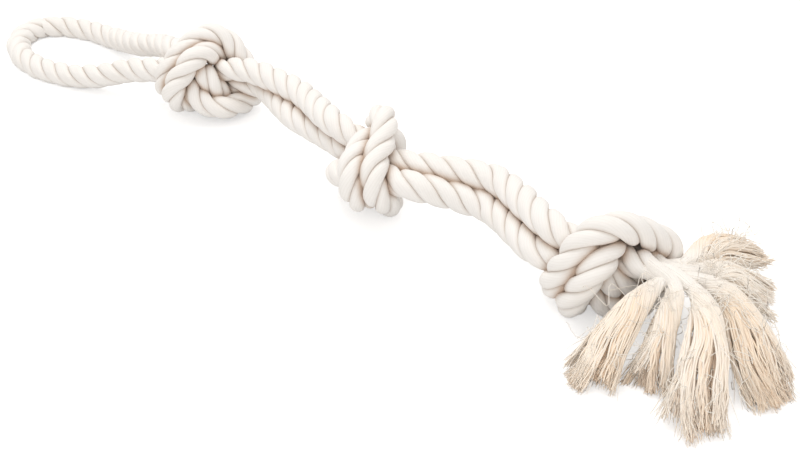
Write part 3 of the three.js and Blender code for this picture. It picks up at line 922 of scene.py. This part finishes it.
def tail_piece(name, yarns, material):
    """One frayed tail: its yarns, the loose fibres at their ends and the wisps."""
    groups = [yarn_tubes(yarns), fibre_tubes(yarns), wisp_tubes(yarns)]
    first = 0
    faces = []
    for group in groups:
        faces.append(group["faces"] + first)
        first += len(group["places"])
    places = np.concatenate([group["places"] for group in groups])
    lowest = FLOOR_CLEARANCE + SETTLING * np.abs(np.sin(places[:, 0]))
    places[:, 2] = np.maximum(places[:, 2], lowest)
    looks = np.concatenate([group["looks"] for group in groups])
    spots = tube_spots([group["size"] for group in groups])
    return mesh_piece(name, places, np.concatenate(faces), {"lay": looks}, material, spots=spots)


# Materials

COLOUR_A, COLOUR_B, COLOUR_RESULT = 6, 7, 2  # a mix node's sockets for colours
SPECULAR, SHEEN = 0.2, 0.15


class Nodes:
    """A node tree, with short ways to add a node and to feed its sockets."""

    def __init__(self, tree):
        """Empties the tree."""
        self.nodes = tree.nodes
        self.links = tree.links
        self.nodes.clear()

    def feed(self, socket, value):
        """Sets a socket to a value, or links another node's output to it."""
        if isinstance(value, bpy.types.NodeSocket):
            self.links.new(value, socket)
        else:
            socket.default_value = value

    def add(self, kind, inputs):
        """Adds a node, with what its sockets are fed."""
        node = self.nodes.new(kind)
        for socket, value in inputs.items():
            self.feed(node.inputs[socket], value)
        return node

    def maths(self, operation, *values, clamp=False):
        """The result of an operation on one or two values."""
        node = self.add("ShaderNodeMath", dict(enumerate(values)))
        node.operation = operation
        node.use_clamp = clamp
        return node.outputs["Value"]

    def mix(self, share, first, second):
        """A colour between two others."""
        node = self.nodes.new("ShaderNodeMix")
        node.data_type = "RGBA"
        self.feed(node.inputs["Factor"], share)
        self.feed(node.inputs[COLOUR_A], first)
        self.feed(node.inputs[COLOUR_B], second)
        return node.outputs[COLOUR_RESULT]

    def attribute(self, name):
        """The outputs of a node that reads one of a piece's named attributes."""
        node = self.nodes.new("ShaderNodeAttribute")
        node.attribute_name = name
        return node.outputs

    def lay(self):
        """The three values of the attribute lay."""
        parts = self.add("ShaderNodeSeparateXYZ", {"Vector": self.attribute("lay")["Vector"]})
        return parts.outputs["X"], parts.outputs["Y"], parts.outputs["Z"]

    def noise(self, place, scale, detail):
        """Noise at a place."""
        inputs = {"Vector": place, "Scale": scale, "Detail": detail}
        return self.add("ShaderNodeTexNoise", inputs).outputs["Fac"]

    def object_place(self):
        """Where in its piece a point lies, in metres."""
        return self.nodes.new("ShaderNodeTexCoord").outputs["Object"]

    def cotton(self, colour, roughness, height, strength, distance):
        """Ends the tree in the shader of dull cotton with a raised surface."""
        relief = {"Strength": strength, "Distance": distance, "Height": height}
        bump = self.add("ShaderNodeBump", relief)
        shader = self.add("ShaderNodeBsdfPrincipled", {
            "Base Color": colour, "Roughness": roughness, "Normal": bump.outputs["Normal"],
            "Specular IOR Level": SPECULAR, "Sheen Weight": SHEEN,
        })
        self.add("ShaderNodeOutputMaterial", {"Surface": shader.outputs["BSDF"]})
        return shader


def node_material(name):
    """A new material and its empty node tree."""
    material = bpy.data.materials.new(name)
    material.use_nodes = True
    return material, Nodes(material.node_tree)


# Painted shade in the creases between strands and in the valleys between yarns
CREASE_SHADE_SHARPNESS, CREASE_SHADE_DEPTH = 11.0, 1.6
VALLEY_SHADE_DEPTH = 0.08
VALLEY_RELIEF = -0.2
# Painted shade, brown, where other turns of the rope come near or touch
CONTACT_SHADE_SHARPNESS, CONTACT_SHADE_DEPTH = 2.4, 0.8
FIBRE_STRETCH = (2.0, 3.0, 0.12)  # across the strand, from yarn to yarn and along the rope
ROPE_ROUGHNESS, FIBRE_ROUGHNESS = 0.78, 0.2


def cotton_material(name, light, deep, crease_shade, contact_shade):
    """Soft undyed cotton: light on the crowns, with painted shade, darker in the creases and
    brown where turns touch.
    """
    material, tree = node_material(name)
    maths = tree.maths
    across, yarns, along = tree.lay()
    over, between, onward = FIBRE_STRETCH
    fibre_place = tree.add("ShaderNodeCombineXYZ", {
        "X": maths("MULTIPLY", yarns, between),
        "Y": maths("MULTIPLY", along, onward),
        "Z": maths("MULTIPLY", across, over),
    })
    fibre = tree.noise(fibre_place.outputs["Vector"], scale=2.2, detail=4)
    blotch = tree.noise(tree.object_place(), scale=38, detail=3)

    # Painted shade in the creases between strands and between yarns
    edge = maths("POWER", maths("ABSOLUTE", across), CREASE_SHADE_SHARPNESS)
    groove = maths("MULTIPLY", edge, CREASE_SHADE_DEPTH)
    crown = maths("ABSOLUTE", maths("SINE", maths("MULTIPLY", yarns, math.pi)))
    valley = maths("POWER", maths("SUBTRACT", 1.0, crown), 2.0)
    shade = maths("ADD", groove, maths("MULTIPLY", valley, VALLEY_SHADE_DEPTH), clamp=True)
    # Painted shade where other turns of the rope come near
    near = maths("POWER", tree.attribute("near")["Fac"], CONTACT_SHADE_SHARPNESS)
    contact_shade_share = maths("MULTIPLY", near, CONTACT_SHADE_DEPTH)

    colour = tree.mix(blotch, light, deep)
    colour = tree.mix(shade, colour, crease_shade)
    colour = tree.mix(contact_shade_share, colour, contact_shade)
    rough = maths("ADD", maths("MULTIPLY", fibre, FIBRE_ROUGHNESS), ROPE_ROUGHNESS)
    height = maths("ADD", maths("MULTIPLY", valley, VALLEY_RELIEF), fibre)
    shader = tree.cotton(colour, rough, height, strength=0.35, distance=0.0005)
    shader.inputs["Sheen Roughness"].default_value = 0.6
    return material


# How much painted shade the yarns take deep in the bundle
INNER_SHADE_SHARE = 0.8
PALE_ROOT = 0.3  # how free a yarn is where it takes its own colour


def yarn_material(name, light, deep, inner, root):
    """Frayed yarn: each yarn in its own tone, with warm painted shade within the bundle, pale at
    its root.
    """
    material, tree = node_material(name)
    tone, within, free = tree.lay()
    colour = tree.mix(tone, light, deep)
    # Painted shade, warm, deeper inside the bundle
    colour = tree.mix(tree.maths("MULTIPLY", within, INNER_SHADE_SHARE), colour, inner)
    opened = tree.add("ShaderNodeMapRange", {"Value": free, "From Max": PALE_ROOT})
    colour = tree.mix(opened.outputs["Result"], root, colour)
    fibre = tree.noise(tree.object_place(), scale=1800, detail=2)
    tree.cotton(colour, roughness=0.9, height=fibre, strength=0.3, distance=0.0003)
    return material


# The stage: a white floor and world, soft lamps and the photograph's camera

CAMERA_AZIMUTH = 36
CAMERA_ELEVATION = 34
CAMERA_PLACE = (0.4384, -0.4763, 0.3910)  # in metres, as the lamps are
CAMERA_NEAREST = 0.01
FOCAL_PIXELS = 1030
PICTURE_WIDTH = 800
SENSOR = 36

LAMPS = {
    "key": {"place": (-0.4, 0.3, 1.5), "size": 1.2, "power": 10, "colour": (1, 0.995, 0.98)},
    "front": {"place": (0.7, -1.1, 0.9), "size": 1.0, "power": 5, "colour": (1, 1, 1)},
}
WHITE = (1, 1, 1, 1)
WORLD_COLOUR = (1, 0.985, 0.97, 1)
WORLD_LEVEL = 0.72
FLOOR_COLOUR = (0.82, 0.82, 0.82, 1)
FLOOR_LIFT = 0.45
FLOOR_REACH = 4000


def add_camera():
    """The photograph's camera, fitted to it."""
    data = bpy.data.cameras.new("camera")
    data.sensor_fit = "HORIZONTAL"
    data.sensor_width = SENSOR
    data.lens = SENSOR * FOCAL_PIXELS / PICTURE_WIDTH
    data.clip_start = CAMERA_NEAREST
    camera = bpy.data.objects.new("camera", data)
    camera.location = CAMERA_PLACE
    camera.rotation_euler = (math.radians(90 - CAMERA_ELEVATION), 0, math.radians(CAMERA_AZIMUTH))
    bpy.context.collection.objects.link(camera)
    bpy.context.scene.camera = camera


def add_lamp(name, place, size, power, colour):
    """A soft round lamp that faces the toy's middle."""
    data = bpy.data.lights.new(name, "AREA")
    data.shape = "DISK"
    data.size = size
    data.energy = power
    data.color = colour
    lamp = bpy.data.objects.new(name, data)
    lamp.location = place
    lamp.rotation_euler = (-Vector(place)).to_track_quat("-Z", "Y").to_euler()
    bpy.context.collection.objects.link(lamp)


def seen_directly(tree):
    """1 where the camera sees a thing itself, or in a mirror or through glass."""
    path = tree.nodes.new("ShaderNodeLightPath")
    total = path.outputs["Is Camera Ray"]
    for ray in ("Is Glossy Ray", "Is Transmission Ray"):
        total = tree.maths("ADD", total, path.outputs[ray], clamp=True)
    return total


def add_world():
    """Soft warm light from all round, with plain white behind the toy."""
    world = bpy.data.worlds.new("world")
    world.use_nodes = True
    tree = Nodes(world.node_tree)
    light = tree.add("ShaderNodeBackground", {"Color": WORLD_COLOUR, "Strength": WORLD_LEVEL})
    backdrop = tree.add("ShaderNodeBackground", {"Color": WHITE, "Strength": 1})
    mix = tree.add("ShaderNodeMixShader", {
        "Fac": seen_directly(tree), 1: light.outputs["Background"], 2: backdrop.outputs["Background"],
    })
    tree.add("ShaderNodeOutputWorld", {"Surface": mix.outputs["Shader"]})
    bpy.context.scene.world = world


def floor_material():
    """A white floor that takes soft shadows and is a little brighter to the camera."""
    material, tree = node_material("floor_white")
    matt = tree.add("ShaderNodeBsdfDiffuse", {"Color": FLOOR_COLOUR})
    lift = tree.maths("MULTIPLY", seen_directly(tree), FLOOR_LIFT)
    glow = tree.add("ShaderNodeEmission", {"Color": WHITE, "Strength": lift})
    both = tree.add("ShaderNodeAddShader", {0: matt.outputs["BSDF"], 1: glow.outputs["Emission"]})
    tree.add("ShaderNodeOutputMaterial", {"Surface": both.outputs["Shader"]})
    return material


def add_floor():
    """The floor on which the toy lies."""
    square = np.array([(-1.0, -1.0, 0), (1.0, -1.0, 0), (1.0, 1.0, 0), (-1.0, 1.0, 0)])
    faces = np.array([(0, 1, 2, 3)])
    floor = mesh_piece("floor", square * FLOOR_REACH, faces, {}, floor_material(), smooth=False)


# The toy

TAIL_BLEND = 0.007  # the same for a tail
FIRST_SEED = 300


def blend_over(piece):
    """Bakes a piece's transform into its mesh."""
    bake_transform(piece)


def add_rope(rope, cotton):
    """The rope's sections, each in place of the solids it stands for, those of a knot on its body."""
    for section in rope.sections:
        piece, line = rope_piece(rope, section, f"rope_{section}", cotton)
        declare_rope(piece, line)
        if section == "handle_loop":
            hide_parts("handle_loop")
            blend_over(piece)
        elif "knot" in section:
            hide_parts(section)
            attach(piece, section[:-len("_leg_a")])
        else:
            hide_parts(f"{section}_handle_side", f"{section}_tassel_side")
            blend_over(piece)


def add_tails(rope, leg, yarn):
    """The three tails at one end of the rope, each from its root out to its tip."""
    fan = fan_middle() + SHIFT
    rings = leg_rings(rope, f"tassel_knot_leg_{leg}")
    names = [name for name in TAILS if name.startswith(f"tail_{leg}")]
    curves = [tail_line(TAILS[name], fan) for name in names]
    order = matched(rope, rings, curves)
    for name, strand, curve in zip(names, order, curves):
        tail = TAILS[name]
        route, rooted = strand_route(rope, rings, strand, curve)
        yarns = Yarns(route, rooted, tail, FIRST_SEED + tail["round"])
        piece = tail_piece(f"{name}_yarns", yarns, yarn)
        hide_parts(name)
        way = heading_way(tail["round"]) * TAIL_BLEND
        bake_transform(piece)


add_camera()
add_world()
add_floor()
for name, lamp in LAMPS.items():
    add_lamp(name, **lamp)
bpy.context.scene.view_settings.view_transform = "Standard"

# Its two darkest colours are painted shade, in the creases and where turns touch
cotton = cotton_material(
    "cotton_rope", light=(0.95, 0.92, 0.89, 1), deep=(0.905, 0.865, 0.815, 1),
    crease_shade=(0.44, 0.345, 0.265, 1), contact_shade=(0.5, 0.35, 0.24, 1),
)
# The inner colour is painted shade deep in the bundle
yarn = yarn_material(
    "frayed_yarn", light=(0.99, 0.945, 0.88, 1), deep=(0.985, 0.835, 0.67, 1),
    inner=(0.93, 0.62, 0.36, 1), root=(0.95, 0.91, 0.86, 1),
)
rope = Rope(whole_rope())
add_rope(rope, cotton)
for leg in "ab":
    add_tails(rope, leg, yarn)
